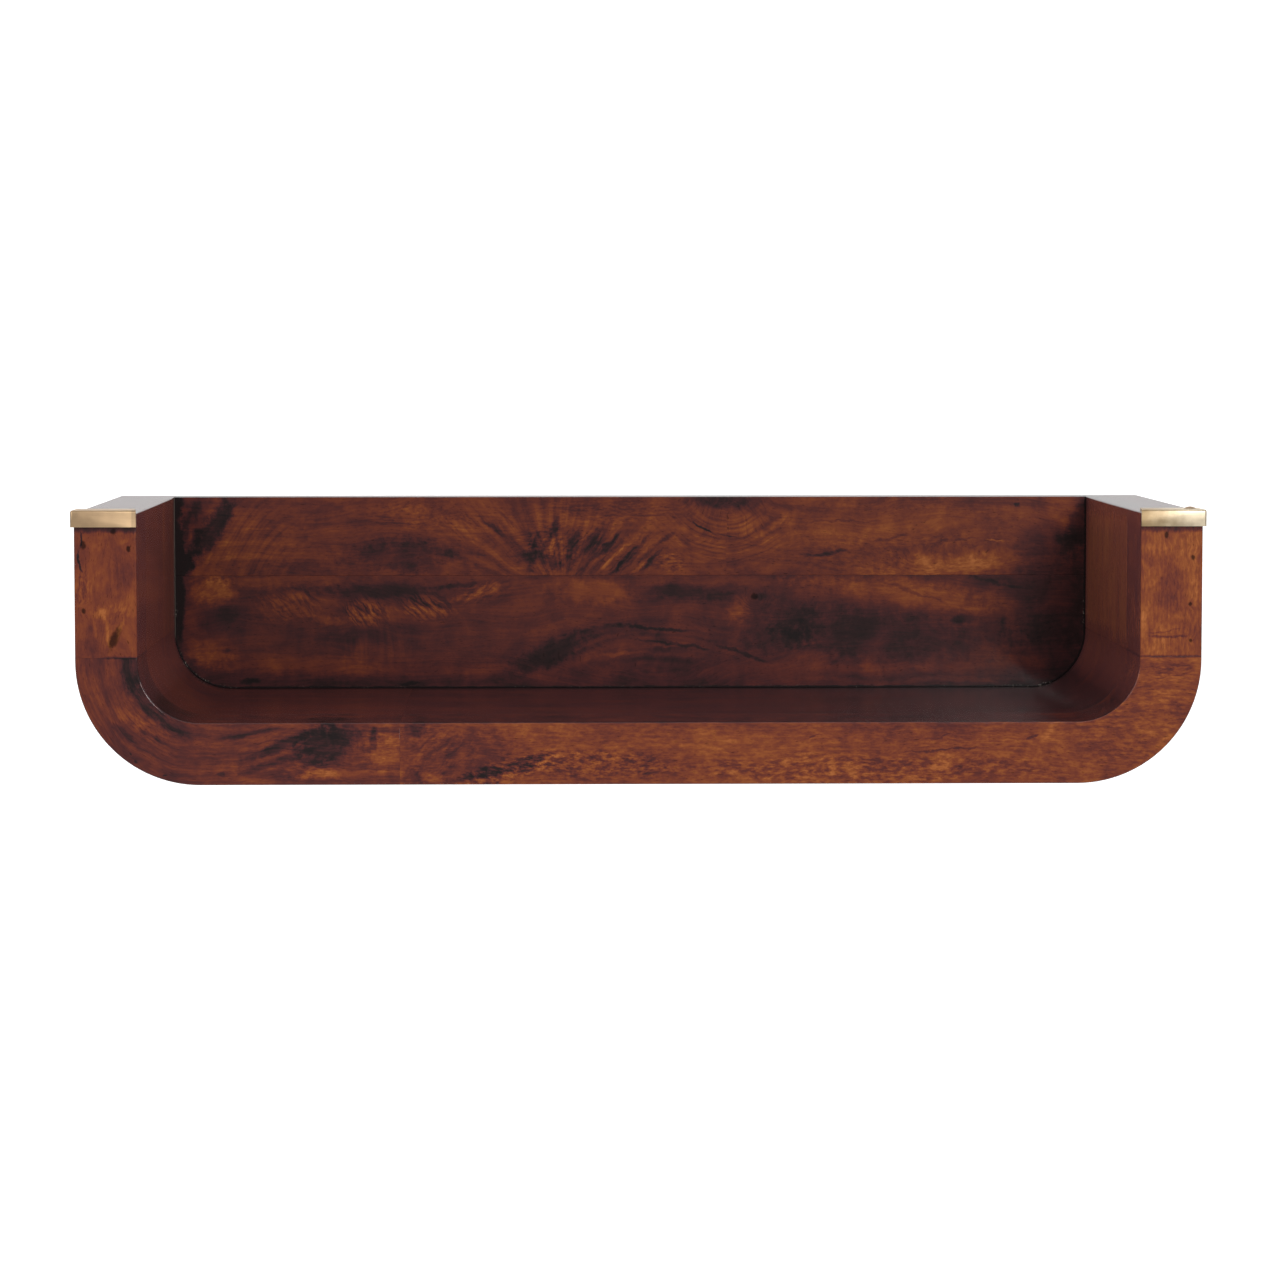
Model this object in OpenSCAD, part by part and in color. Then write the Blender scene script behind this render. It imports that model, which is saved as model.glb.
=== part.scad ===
// Trough-shaped floating wall shelf: a solid-wood U with rounded lower corners,
// an inset two-plank back panel, folded brass caps on the arms' front ends and
// two keyhole hangers let into the back.
// Millimetres. The wall is the plane y = 0, the front faces -Y and +Z is up.
// The origin is midway between the two hangers' entry holes, on the wall.

/* [Shelf] */
// Width across the outer faces of the arms
shelf_w = 600; // [480:10:900]
// Height of the arms above the underside
shelf_h = 145; // [135:1:200]
// Depth of the boards from the wall to the front
shelf_d = 250; // [200:5:320]
// Thickness of the arms, the corners and the floor
wall_t = 33; // [28:1:38]
// Outer radius of the two lower corners
corner_r = 66; // [56:1:68]

/* [Boards] */
// Depth of the board glued along the front
front_board_d = 53; // [40:1:80]
// Depth of the board in the middle
middle_board_d = 101; // [70:1:110]
// Distance from the left outer face to the upright joint in the floor
floor_joint = 172; // [120:1:240]
// Height of the end joints under the arms above the corners' upper tangent
arm_joint_lift = 2; // [1:1:6]

/* [Back panel] */
// Thickness of the back panel
panel_t = 25; // [20:1:30]
// Height of the joint between the panel's two planks above the underside
plank_joint = 99; // [85:1:100]

/* [Brass caps] */
// Thickness of the brass sheet
cap_sheet = 1.5; // [0.8:0.1:2]
// Height of the cap's front lip and side flange
cap_h = 9; // [7:0.5:16]
// Depth of the cap's top leg over the wood
cap_d = 22; // [18:1:40]
// Room between the wood and the cap's lip and flange
cap_gap = 0.3; // [0.1:0.1:0.6]
// How much the top leg narrows at its inner end from the lip to its rear
cap_taper = 2.5; // [0.5:0.5:6]
// Radius of the cap's folded edges
cap_bend_r = 1.2; // [0.5:0.1:1.6]
// How far the right cap's pin head stands proud
proud_pin = 1.2; // [0.4:0.1:1.6]

/* [Joinery] */
// Diameter of the joint dowels
dowel_dia = 8; // [6:1:12]
// Length of the joint dowels
dowel_l = 40; // [30:1:44]

/* [Hangers] */
// Distance between the two keyhole hangers
hanger_pitch = 440; // [300:10:440]
// Distance of the entry holes' centres below the top of the arms
hanger_drop = 28; // [26:1:30]
// Diameter of the round entry hole
entry_dia = 10; // [9:0.5:11]
// Width of the hanger's narrow slot
neck_w = 5; // [4.5:0.1:6]
// Rise of the slot's upper end above the entry hole
neck_rise = 7; // [6:0.5:8]
// Depth of the pocket for a screw head behind the plate
head_room = 9; // [7:0.5:10]

/* [Hidden] */
$fn = 96;

LAYER_FRONT = 0;
LAYER_MIDDLE = 1;
LAYER_REAR = 2;
LEFT = -1;
RIGHT = 1;

half_w = shelf_w / 2;
inner_half_w = half_w - wall_t;
inner_r = corner_r - wall_t;
top_z = hanger_drop;
under_z = top_z - shelf_h;
floor_z = under_z + wall_t;
arm_joint_z = under_z + corner_r + arm_joint_lift;
floor_joint_x = floor_joint - half_w;
plank_joint_z = under_z + plank_joint;

// Each layer of boards runs from its front face to its rear face along y
layer_ends = [
    [-shelf_d, front_board_d - shelf_d],
    [front_board_d - shelf_d, front_board_d + middle_board_d - shelf_d],
    [front_board_d + middle_board_d - shelf_d, 0]
];
function layer_middle(layer) = (layer_ends[layer][0] + layer_ends[layer][1]) / 2;

over = 1;             // cutters run this far past the faces that they open
fit_gap = 0.05;       // glue or drilling room around a dowel, pin or screw
end_room = 1;         // empty end of a blind hole past its dowel
dowel_chamfer = 1;

pin_inset = 5.5;      // from the arm's outer face to the cap pin
pin_setback = 10;     // from the boards' front face to the cap pin
pin_shank_r = 1;
pin_head_r = 3.5;
pin_l = 13;
pin_point = 2.5;

plate_w = 16;
plate_h = 38;
plate_t = 2;
plate_lift = 4;       // the plate's middle above its entry hole
plate_gap = 0.1;
screw_spread = 14.5;  // each plate screw's distance from the plate's middle
screw_shank_r = 1.5;
screw_head_r = 2.75;
screw_head_h = screw_head_r - screw_shank_r;
screw_l = 16;
screw_point = 3;
screw_sink = 0.1;     // the screw heads lie this far under the plate's face
drive_w = 0.7;
drive_span = 3.4;
drive_depth = 1;
head_slot_w = entry_dia + 2;

// ---- Outlines, drawn with x across the shelf and y as its height ----

// A trough w wide and h high whose lower corners have the radius r
module trough_outline(w, h, r) {
    translate([-w / 2, r]) square([w, h - r]);
    translate([r - w / 2, 0]) square([w - 2 * r, h]);
    for (side = [LEFT, RIGHT]) {
        translate([side * (w / 2 - r), r]) circle(r);
    }
}

module u_outline() {
    difference() {
        translate([0, under_z]) trough_outline(shelf_w, shelf_h, corner_r);
        translate([0, floor_z]) trough_outline(2 * inner_half_w, shelf_h, inner_r);
    }
}

// The stretch of the U between two widths and two heights
module u_stretch(x_from, x_to, z_from, z_to) {
    intersection() {
        u_outline();
        translate([x_from, z_from]) square([x_to - x_from, z_to - z_from]);
    }
}

module panel_outline() {
    translate([0, floor_z]) trough_outline(2 * inner_half_w, shelf_h - wall_t, inner_r);
}

// A slot with round ends, centred, w wide and h high
module round_slot(w, h) {
    square([w, h - w], center = true);
    for (end = [-1, 1]) {
        translate([0, end * (h - w) / 2]) circle(w / 2);
    }
}

// A rectangle from the origin whose far corner is rounded
module one_corner_round(w, h, r) {
    square([w - r, h]);
    square([w, h - r]);
    translate([w - r, h - r]) circle(r);
}

// ---- Placing ----

// Stands an outline up as a board between two depths
module board(y_front, y_rear) {
    translate([0, y_rear, 0]) rotate([90, 0, 0]) linear_extrude(y_rear - y_front) children();
}

module layer_board(layer) {
    board(layer_ends[layer][0], layer_ends[layer][1]) children();
}

module at_each_layer() {
    for (layer = [LAYER_FRONT, LAYER_MIDDLE, LAYER_REAR]) {
        translate([0, layer_middle(layer), 0]) children();
    }
}

module at_arm_joint(side) {
    translate([side * (half_w - wall_t / 2), 0, arm_joint_z]) children();
}

module at_floor_joint() {
    translate([floor_joint_x, 0, under_z + wall_t / 2]) rotate([0, 90, 0]) children();
}

module at_cap_pin(side) {
    translate([side * (half_w - pin_inset), pin_setback - shelf_d, top_z + cap_sheet]) children();
}

module at_hanger(side) {
    translate([side * hanger_pitch / 2, 0, 0]) children();
}

module at_plate_screws() {
    for (end = [-1, 1]) {
        translate([0, 0, plate_lift + end * screw_spread]) rotate([-90, 0, 0]) children();
    }
}

// ---- Joinery ----

module dowel() {
    flat_l = dowel_l - 2 * dowel_chamfer;
    tip_r = dowel_dia / 2 - dowel_chamfer;
    cylinder(h = flat_l, r = dowel_dia / 2, center = true);
    for (end = [0, 1]) {
        mirror([0, 0, end]) translate([0, 0, flat_l / 2]) {
            cylinder(h = dowel_chamfer, r1 = dowel_dia / 2, r2 = tip_r);
        }
    }
}

module dowel_hole() {
    cylinder(h = dowel_l + 2 * end_room, r = dowel_dia / 2 + fit_gap, center = true);
}

// ---- Boards of the U ----

module arm_board(side, layer) {
    x_from = side == LEFT ? -half_w : inner_half_w;
    difference() {
        layer_board(layer) translate([x_from, arm_joint_z]) square([wall_t, top_z - arm_joint_z]);
        at_arm_joint(side) at_each_layer() dowel_hole();
        at_cap_pin(side) cap_pin_hole();
    }
}

module left_corner_board(layer) {
    difference() {
        layer_board(layer) u_stretch(-half_w, floor_joint_x, under_z, arm_joint_z);
        at_arm_joint(LEFT) at_each_layer() dowel_hole();
        at_floor_joint() at_each_layer() dowel_hole();
    }
}

module floor_board(layer) {
    difference() {
        layer_board(layer) u_stretch(floor_joint_x, half_w, under_z, arm_joint_z);
        at_arm_joint(RIGHT) at_each_layer() dowel_hole();
        at_floor_joint() at_each_layer() dowel_hole();
    }
}

module left_arm_front() color("#7a4a30") arm_board(LEFT, LAYER_FRONT);
module left_arm_middle() color("#5a3028") arm_board(LEFT, LAYER_MIDDLE);
module left_arm_rear() color("#63352a") arm_board(LEFT, LAYER_REAR);
module right_arm_front() color("#8a5030") arm_board(RIGHT, LAYER_FRONT);
module right_arm_middle() color("#6b3a2a") arm_board(RIGHT, LAYER_MIDDLE);
module right_arm_rear() color("#5c3028") arm_board(RIGHT, LAYER_REAR);
module left_corner_front() color("#6a3426") left_corner_board(LAYER_FRONT);
module left_corner_middle() color("#4c2a24") left_corner_board(LAYER_MIDDLE);
module left_corner_rear() color("#55302a") left_corner_board(LAYER_REAR);
module floor_board_front() color("#784028") floor_board(LAYER_FRONT);
module floor_board_middle() color("#4e2c26") floor_board(LAYER_MIDDLE);
module floor_board_rear() color("#5a3228") floor_board(LAYER_REAR);

// ---- Back panel ----

module upper_back_plank() {
    color("#5e3324") difference() {
        board(-panel_t, 0) intersection() {
            panel_outline();
            translate([-half_w, plank_joint_z]) square([shelf_w, shelf_h]);
        }
        for (side = [LEFT, RIGHT]) {
            at_hanger(side) hanger_recess();
        }
    }
}

module lower_back_plank() {
    color("#4a2a22") board(-panel_t, 0) intersection() {
        panel_outline();
        translate([-half_w, under_z]) square([shelf_w, plank_joint]);
    }
}

// ---- Brass caps ----

// The right cap's outer block, with its three folded edges rounded
module cap_block() {
    skin = cap_gap + cap_sheet;
    block_w = wall_t + skin;
    block_d = cap_d + skin;
    translate([inner_half_w, cap_d - shelf_d, top_z + cap_sheet - cap_h]) {
        intersection() {
            rotate([90, 0, 0]) linear_extrude(block_d) one_corner_round(block_w, cap_h, cap_bend_r);
            mirror([0, 1, 0]) rotate([90, 0, 90]) linear_extrude(block_w) {
                one_corner_round(block_d, cap_h, cap_bend_r);
            }
            mirror([0, 1, 0]) linear_extrude(cap_h) difference() {
                one_corner_round(block_w, block_d, cap_bend_r);
                polygon([[0, 0], [cap_taper, 0], [0, cap_d]]);
            }
        }
    }
}

module right_cap_shape() {
    difference() {
        cap_block();
        translate([0, -shelf_d - cap_gap, under_z]) cube([half_w + cap_gap, shelf_d, shelf_h]);
        at_cap_pin(RIGHT) cap_pin_hole();
    }
}

module left_brass_cap() color("#c8aa7a") mirror([1, 0, 0]) right_cap_shape();
module right_brass_cap() color("#d8bc88") right_cap_shape();

// A countersunk pin whose flat head ends at z = 0
module cap_pin() {
    rotate_extrude() polygon([
        [0, -pin_l],
        [pin_shank_r, pin_point - pin_l],
        [pin_shank_r, pin_shank_r - pin_head_r],
        [pin_head_r, 0],
        [0, 0]
    ]);
}

module cap_pin_hole() {
    translate([0, 0, -pin_l - end_room]) cylinder(h = pin_l + end_room + over, r = pin_shank_r + fit_gap);
    translate([0, 0, pin_shank_r - pin_head_r]) {
        cylinder(h = pin_head_r - pin_shank_r, r1 = pin_shank_r + fit_gap, r2 = pin_head_r + fit_gap);
    }
    cylinder(h = over, r = pin_head_r + fit_gap);
}

// The low round top of a pin head that stands proud
module pin_dome() {
    dome_r = (pin_head_r * pin_head_r + proud_pin * proud_pin) / (2 * proud_pin);
    intersection() {
        translate([0, 0, proud_pin - dome_r]) sphere(dome_r);
        cylinder(h = proud_pin + over, r = pin_head_r);
    }
}

module left_cap_pin() color("#b89a66") at_cap_pin(LEFT) cap_pin();
module right_cap_pin() {
    color("#b89a66") at_cap_pin(RIGHT) union() {
        cap_pin();
        pin_dome();
    }
}

// ---- Dowels ----

module left_arm_dowels() color("#d8b98a") at_arm_joint(LEFT) at_each_layer() dowel();
module right_arm_dowels() color("#d8b98a") at_arm_joint(RIGHT) at_each_layer() dowel();
module floor_dowels() color("#d8b98a") at_floor_joint() at_each_layer() dowel();

// ---- Keyhole hangers ----

// Room for a plate, for the screw head behind it and for its two screws
module hanger_recess() {
    board(-plate_t, over) translate([0, plate_lift]) {
        round_slot(plate_w + 2 * plate_gap, plate_h + 2 * plate_gap);
    }
    board(-plate_t - head_room, over) translate([0, neck_rise / 2]) {
        round_slot(head_slot_w, neck_rise + head_slot_w);
    }
    at_plate_screws() translate([0, 0, -screw_l - end_room]) {
        cylinder(h = screw_l + end_room, r = screw_shank_r + fit_gap);
    }
}

module keyhole_plate(side) {
    at_hanger(side) difference() {
        board(-plate_t, 0) difference() {
            translate([0, plate_lift]) round_slot(plate_w, plate_h);
            circle(entry_dia / 2);
            translate([0, neck_rise / 2]) round_slot(neck_w, neck_rise + neck_w);
        }
        at_plate_screws() countersunk_hole();
    }
}

module countersunk_hole() {
    shank_hole_r = screw_shank_r + fit_gap;
    head_hole_r = screw_head_r + fit_gap;
    translate([0, 0, -plate_t - over]) cylinder(h = plate_t + 2 * over, r = shank_hole_r);
    translate([0, 0, -screw_head_h - screw_sink]) {
        cylinder(h = screw_head_h, r1 = shank_hole_r, r2 = head_hole_r);
    }
    translate([0, 0, -screw_sink]) cylinder(h = over, r = head_hole_r);
}

module wood_screw() {
    translate([0, 0, -screw_sink]) difference() {
        rotate_extrude() polygon([
            [0, -screw_l],
            [screw_shank_r, screw_point - screw_l],
            [screw_shank_r, -screw_head_h],
            [screw_head_r, 0],
            [0, 0]
        ]);
        for (turn = [0, 90]) {
            rotate([0, 0, turn]) translate([0, 0, -drive_depth / 2]) {
                cube([drive_span, drive_w, drive_depth + 2 * fit_gap], center = true);
            }
        }
    }
}

module left_keyhole_plate() color("#b4b6b8") keyhole_plate(LEFT);
module right_keyhole_plate() color("#b4b6b8") keyhole_plate(RIGHT);
module hanger_screws() {
    color("#c9ccd0") for (side = [LEFT, RIGHT]) {
        at_hanger(side) at_plate_screws() wood_screw();
    }
}

left_arm_front();
left_arm_middle();
left_arm_rear();
right_arm_front();
right_arm_middle();
right_arm_rear();
left_corner_front();
left_corner_middle();
left_corner_rear();
floor_board_front();
floor_board_middle();
floor_board_rear();
upper_back_plank();
lower_back_plank();
left_brass_cap();
right_brass_cap();
left_cap_pin();
right_cap_pin();
left_arm_dowels();
right_arm_dowels();
floor_dowels();
left_keyhole_plate();
right_keyhole_plate();
hanger_screws();
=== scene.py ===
"""Looks of the trough-shaped wall shelf: figured dark wood, folded brass caps, studio light."""
import math

import bmesh
import bpy
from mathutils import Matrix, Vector


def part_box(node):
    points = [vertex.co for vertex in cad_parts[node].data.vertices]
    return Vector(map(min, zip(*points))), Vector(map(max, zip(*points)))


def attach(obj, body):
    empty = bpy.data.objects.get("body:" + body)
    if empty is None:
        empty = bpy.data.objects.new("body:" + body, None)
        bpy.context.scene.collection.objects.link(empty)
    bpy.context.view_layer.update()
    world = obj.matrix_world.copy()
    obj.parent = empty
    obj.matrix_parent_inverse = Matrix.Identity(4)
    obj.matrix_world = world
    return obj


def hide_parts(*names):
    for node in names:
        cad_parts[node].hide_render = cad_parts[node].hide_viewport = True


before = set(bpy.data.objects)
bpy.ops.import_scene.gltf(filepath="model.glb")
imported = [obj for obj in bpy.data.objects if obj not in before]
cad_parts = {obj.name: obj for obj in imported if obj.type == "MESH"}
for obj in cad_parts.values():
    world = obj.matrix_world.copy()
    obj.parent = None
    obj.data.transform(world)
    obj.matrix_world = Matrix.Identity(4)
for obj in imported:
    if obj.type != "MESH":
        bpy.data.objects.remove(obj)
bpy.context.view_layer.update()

MM = 0.001
LAYERS = ("front", "middle", "rear")

# ---- Places and sizes, read from the CAD nodes ----

arm_lo, arm_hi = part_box("left_arm_front")
floor_lo, floor_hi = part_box("floor_board_front")
panel_lo, panel_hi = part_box("lower_back_plank")

HALF_W = floor_hi.x
INNER_HALF_W = -arm_hi.x
WALL_T = HALF_W - INNER_HALF_W
TOP_Z = arm_hi.z
UNDER_Z = floor_lo.z
FLOOR_Z = UNDER_Z + WALL_T
ARM_JOINT_Z = arm_lo.z
FLOOR_JOINT_X = floor_lo.x
PLANK_JOINT_Z = panel_hi.z
FRONT_Y = arm_lo.y
PANEL_Y = panel_lo.y
LAYER_ENDS = {
    layer: (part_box("left_arm_" + layer)[0].y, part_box("left_arm_" + layer)[1].y)
    for layer in LAYERS
}
CORNER_R = 66 * MM         # the outside of the rounded corners
INNER_R = CORNER_R - WALL_T
CORNER_X = HALF_W - CORNER_R
CORNER_Z = UNDER_Z + CORNER_R

EASED = 0.6 * MM           # rounding of an edge that hands touch
JOINT_NICK = 0.12 * MM     # the fine groove along a glued joint
PANEL_GROOVE = 0.35 * MM   # the open groove round the back panel
ARC_STEPS = 28


# ---- Mesh building ----

SKIN = "skin"
JOINT = "joint"
GROOVE = "groove"
BEVEL_WEIGHTS = {SKIN: 1.0, JOINT: JOINT_NICK / EASED, GROOVE: PANEL_GROOVE / EASED}


def arc(centre, radius, start, end):
    """Points of an arc in the (x, z) plane, from angle start to angle end in degrees."""
    points = []
    for i in range(ARC_STEPS + 1):
        angle = math.radians(start + (end - start) * i / ARC_STEPS)
        points.append((centre[0] + radius * math.cos(angle), centre[1] + radius * math.sin(angle)))
    return points


def outline_kinds(stretches):
    """Joins stretches, each of points and the kind of edge that follows them, into one closed outline."""
    points = []
    kinds = []
    for stretch, kind in stretches:
        for point in stretch:
            if points and (Vector(point) - Vector(points[-1])).length < 1e-7:
                kinds[-1] = kind
                continue
            points.append(point)
            kinds.append(kind)
    return points, kinds


def prism(name, stretches, y_front, y_rear, front_kind, rear_kind):
    """A board with the given outline, whose edges carry the weights that its bevel reads."""
    points, kinds = outline_kinds(stretches)
    count = len(points)
    mesh = bmesh.new()
    weights = mesh.edges.layers.float.new("bevel_weight_edge")
    rings = [
        [mesh.verts.new((x, y, z)) for x, z in points]
        for y in (y_front, y_rear)
    ]
    mesh.faces.new(rings[0])
    mesh.faces.new(reversed(rings[1]))
    for i in range(count):
        j = (i + 1) % count
        mesh.faces.new((rings[0][i], rings[1][i], rings[1][j], rings[0][j]))
    for ring, end_kind in zip(rings, (front_kind, rear_kind)):
        for i in range(count):
            edge = mesh.edges.get((ring[i], ring[(i + 1) % count]))
            edge[weights] = min(BEVEL_WEIGHTS[kinds[i]], BEVEL_WEIGHTS[end_kind])
    for i in range(count):
        before = Vector(points[i]) - Vector(points[i - 1])
        after = Vector(points[(i + 1) % count]) - Vector(points[i])
        if before.angle(after) > math.radians(20):
            edge = mesh.edges.get((rings[0][i], rings[1][i]))
            edge[weights] = min(BEVEL_WEIGHTS[kinds[i - 1]], BEVEL_WEIGHTS[kinds[i]])
    bmesh.ops.recalc_face_normals(mesh, faces=mesh.faces)
    return finish_mesh(name, mesh)


def finish_mesh(name, mesh):
    """Turns the mesh being built into a smooth-shaded object of the scene."""
    data = bpy.data.meshes.new(name)
    mesh.to_mesh(data)
    mesh.free()
    for polygon in data.polygons:
        polygon.use_smooth = True
    piece = bpy.data.objects.new(name, data)
    bpy.context.scene.collection.objects.link(piece)
    return piece


def add_bevel(piece, width, segments=3, by_angle=None):
    """Rounds the edges by their weights, or every edge sharper than by_angle degrees."""
    bevel = piece.modifiers.new("eased_edges", "BEVEL")
    bevel.width = width
    bevel.segments = segments
    bevel.harden_normals = True
    if by_angle is None:
        bevel.limit_method = "WEIGHT"
    else:
        bevel.limit_method = "ANGLE"
        bevel.angle_limit = math.radians(by_angle)


def add_flat_faces(piece):
    """Keeps the shading of the broad flat faces flat beside their rounded edges."""
    flat = piece.modifiers.new("flat_faces", "WEIGHTED_NORMAL")
    flat.keep_sharp = True


def place(piece, nodes, material):
    """Rides the piece on the shelf, in place of its CAD nodes, and gives it its material."""
    piece.data.materials.clear()
    piece.data.materials.append(material)
    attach(piece, "root")
    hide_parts(*nodes)


# ---- Shader building ----

class Shader:
    """A material's node tree with short calls for what the materials here use."""

    def __init__(self, name):
        self.material = bpy.data.materials.new(name)
        self.material.use_nodes = True
        self.tree = self.material.node_tree
        self.tree.nodes.clear()
        self.surface = self.node("ShaderNodeBsdfPrincipled")
        output = self.node("ShaderNodeOutputMaterial")
        self.tree.links.new(self.surface.outputs[0], output.inputs[0])

    def node(self, kind, **settings):
        node = self.tree.nodes.new(kind)
        for key, value in settings.items():
            setattr(node, key, value)
        return node

    def plug(self, value, socket):
        if isinstance(value, bpy.types.NodeSocket):
            self.tree.links.new(value, socket)
        elif value is not None:
            socket.default_value = value

    def math(self, operation, a, b=None):
        node = self.node("ShaderNodeMath", operation=operation)
        self.plug(a, node.inputs[0])
        self.plug(b, node.inputs[1])
        return node.outputs[0]

    def vector(self, operation, a, b=None):
        node = self.node("ShaderNodeVectorMath", operation=operation)
        self.plug(a, node.inputs[0])
        self.plug(b, node.inputs[1])
        return node.outputs["Value" if operation == "LENGTH" else "Vector"]

    def scaled(self, vector, factor):
        node = self.node("ShaderNodeVectorMath", operation="SCALE")
        self.plug(vector, node.inputs[0])
        self.plug(factor, node.inputs["Scale"])
        return node.outputs[0]

    def split(self, vector):
        node = self.node("ShaderNodeSeparateXYZ")
        self.plug(vector, node.inputs[0])
        return node.outputs[0], node.outputs[1], node.outputs[2]

    def joined(self, x, y, z):
        node = self.node("ShaderNodeCombineXYZ")
        for value, socket in zip((x, y, z), node.inputs):
            self.plug(value, socket)
        return node.outputs[0]

    def position_mm(self):
        """The point on the surface, in millimetres, with its height counted from the shelf's underside."""
        on_shelf = self.node("ShaderNodeTexCoord").outputs["Object"]
        raised = self.vector("SUBTRACT", on_shelf, (0, 0, UNDER_Z))
        return self.scaled(raised, 1 / MM)

    def normal(self):
        return self.node("ShaderNodeTexCoord").outputs["Normal"]

    def noise(self, vector, scale=1.0, detail=3.0, rough=0.5, distortion=0.0, output=0):
        """Noise whose output 0 is a number and output 1 a colour."""
        node = self.node("ShaderNodeTexNoise")
        self.plug(vector, node.inputs["Vector"])
        self.plug(scale, node.inputs["Scale"])
        self.plug(detail, node.inputs["Detail"])
        self.plug(rough, node.inputs["Roughness"])
        self.plug(distortion, node.inputs["Distortion"])
        return node.outputs[output]

    def swing(self, vector, detail, rough, distortion=0.0, scale=1.0):
        """Noise that swings between -1 and 1 round 0."""
        return self.remap(self.noise(vector, scale, detail, rough, distortion), 0.3, 0.7, -1.0, 1.0)

    def remap(self, value, low, high, to_low=0.0, to_high=1.0, smooth=False):
        node = self.node("ShaderNodeMapRange", interpolation_type="SMOOTHSTEP" if smooth else "LINEAR")
        self.plug(value, node.inputs["Value"])
        self.plug(low, node.inputs["From Min"])
        self.plug(high, node.inputs["From Max"])
        self.plug(to_low, node.inputs["To Min"])
        self.plug(to_high, node.inputs["To Max"])
        return node.outputs[0]

    def ramp(self, value, stops):
        node = self.node("ShaderNodeValToRGB")
        elements = node.color_ramp.elements
        while len(elements) < len(stops):
            elements.new(0.5)
        for element, (place_on_ramp, colour) in zip(elements, stops):
            element.position = place_on_ramp
            element.color = (*colour, 1)
        self.plug(value, node.inputs[0])
        return node.outputs[0]

    def mix(self, factor, a, b, blend="MIX"):
        node = self.node("ShaderNodeMix", data_type="RGBA", blend_type=blend)
        self.plug(factor, node.inputs[0])
        self.plug(a if isinstance(a, bpy.types.NodeSocket) else (*a, 1), node.inputs[6])
        self.plug(b if isinstance(b, bpy.types.NodeSocket) else (*b, 1), node.inputs[7])
        return node.outputs[2]

    def bump(self, height, strength, distance):
        node = self.node("ShaderNodeBump")
        self.plug(strength, node.inputs["Strength"])
        self.plug(distance, node.inputs["Distance"])
        self.plug(height, node.inputs["Height"])
        return node.outputs[0]

    def local(self, point, centre, size, tilt):
        """The point in a patch's own frame: its centre at 0 and its edge at 1."""
        node = self.node("ShaderNodeMapping", vector_type="TEXTURE")
        self.plug(point, node.inputs["Vector"])
        self.plug((centre[0], 0, centre[1]), node.inputs["Location"])
        self.plug((0, math.radians(-tilt), 0), node.inputs["Rotation"])
        self.plug((size[0], 1e6, size[1]), node.inputs["Scale"])
        return node.outputs[0]

    def patch(self, point, centre, size, tilt=0.0, core=0.35, ragged=None):
        """1 inside a tilted oval of the (x, height) plane, falling smoothly to 0 at its edge."""
        away = self.vector("LENGTH", self.local(point, centre, size, tilt))
        if ragged is not None:
            away = self.add(away, self.times(ragged, 0.24))
        return self.remap(away, core, 1.0, 1.0, 0.0, smooth=True)

    def add(self, *values):
        total = values[0]
        for value in values[1:]:
            total = self.math("ADD", total, value)
        return total

    def times(self, value, factor):
        return self.math("MULTIPLY", value, factor)


# ---- Wood ----

# Stained and lacquered wood from its darkest streak to its brightest figure
WOOD_TONES = [
    (0.00, (0.0150, 0.0105, 0.0108)),
    (0.18, (0.0300, 0.0145, 0.0150)),
    (0.30, (0.0540, 0.0180, 0.0190)),
    (0.45, (0.0930, 0.0242, 0.0200)),
    (0.57, (0.1350, 0.0332, 0.0200)),
    (0.68, (0.1820, 0.0462, 0.0200)),
    (0.80, (0.2430, 0.0700, 0.0215)),
    (1.00, (0.3900, 0.1300, 0.0390)),
]
# A pale painted sheen on the sideways faces, standing in for the clear coat's reflection
PAINTED_SHEEN_COLOUR = (0.42, 0.17, 0.20)
PAINTED_SHEEN_AMOUNT = 0.12                # how much painted sheen, in place of the coat's reflection, the sideways faces have
KNOT_COLOUR = (0.0060, 0.0025, 0.0020)
KNOT_DEPTH = 0.80
PORE_DEPTH = 0.5
GLUE_COLOUR = (0.42, 0.36, 0.30)

# Places in the shader's own frame: millimetres, with heights counted from the underside
WALL_MM = WALL_T / MM
CORNER_R_MM = CORNER_R / MM
CORNER_X_MM = CORNER_X / MM
CORNER_PATH_R_MM = (CORNER_R + INNER_R) / 2 / MM
FRONT_Y_MM = FRONT_Y / MM
PANEL_Y_MM = PANEL_Y / MM
ARM_JOINT_MM = (ARM_JOINT_Z - UNDER_Z) / MM
CAP_LIP_MM = 7.5           # how far the caps' lips hang below the arms' tops
CAP_LOW_MM = (TOP_Z - UNDER_Z) / MM - CAP_LIP_MM


# The grain's frames: each gives a point's place along the grain, across it and through the shelf's depth

def grain_upright(shader, point):
    """Straight grain that runs up an arm."""
    x, y, z = shader.split(point)
    return shader.joined(z, x, y)


def grain_level(shader, point):
    """Straight grain that runs from left to right."""
    x, y, z = shader.split(point)
    return shader.joined(x, z, y)


def inward(shader, point):
    """Distance in from the outside of the U, in mm, and the parts of it that grain_bent needs."""
    x, _, z = shader.split(point)
    side = shader.math("MAXIMUM", shader.math("SUBTRACT", shader.math("ABSOLUTE", x), CORNER_X_MM), 0.0)
    drop = shader.math("MAXIMUM", shader.math("SUBTRACT", CORNER_R_MM, z), 0.0)
    radius = shader.math("SQRT", shader.add(shader.times(side, side), shader.times(drop, drop)))
    return shader.math("SUBTRACT", CORNER_R_MM, radius), side, drop


def from_wall(shader, point):
    """Distance in from the inner face of the U's wall, in mm."""
    return shader.math("SUBTRACT", inward(shader, point)[0], WALL_MM)


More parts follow.
